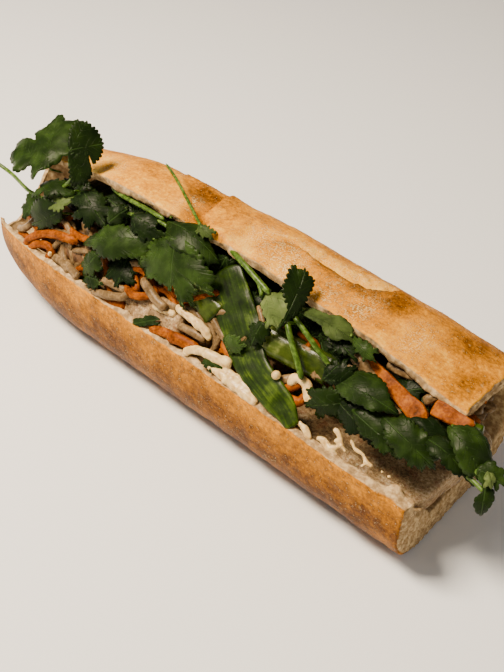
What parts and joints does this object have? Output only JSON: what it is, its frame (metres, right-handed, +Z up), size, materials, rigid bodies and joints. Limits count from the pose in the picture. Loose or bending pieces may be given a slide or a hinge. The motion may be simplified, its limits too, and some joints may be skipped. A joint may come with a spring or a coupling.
{
  "type": "filled baguette sandwich",
  "caption": "Split baguette, cut through at one end, filled with sliced pork, pickled carrot and daikon shreds, cucumber and fresh coriander.",
  "frame": {"origin": "on the flat sole of the loaf, midway along it, under the middle of its section", "axes": "+X from the loaf's round tip to its cut end, +Y towards the closed back, +Z up; the mouth opens to -Y and up"},
  "size_m": [0.268, 0.0797, 0.0921],
  "materials": {
    "baguette_crust": "dry golden bread crust, pale crumb inside",
    "sliced_pork": "moist brown sliced meat",
    "pickled_shreds": "wet pickled carrot and daikon",
    "cucumber_skin": "dark green skin with a soft sheen",
    "cucumber_flesh": "wet pale green flesh",
    "pickled_carrot": "wet orange pickled carrot",
    "pickled_daikon": "wet cream pickled daikon",
    "coriander": "fresh green leaf with a soft sheen"
  },
  "bodies": {
    "root": {"baguette": "baguette_crust", "pork_slice_1": "sliced_pork", "pork_slice_2": "sliced_pork", "pork_slice_3": "sliced_pork", "pickled_shreds": "pickled_shreds", "cucumber_strip": "cucumber_skin", "cucumber_slice": "cucumber_flesh", "cucumber_chip": "cucumber_flesh", "cucumber_end": "cucumber_skin", "carrot_baton_1": "pickled_carrot", "carrot_baton_2": "pickled_carrot", "daikon_baton_1": "pickled_daikon", "coriander_bundle": "coriander"}
  },
  "joints": []
}
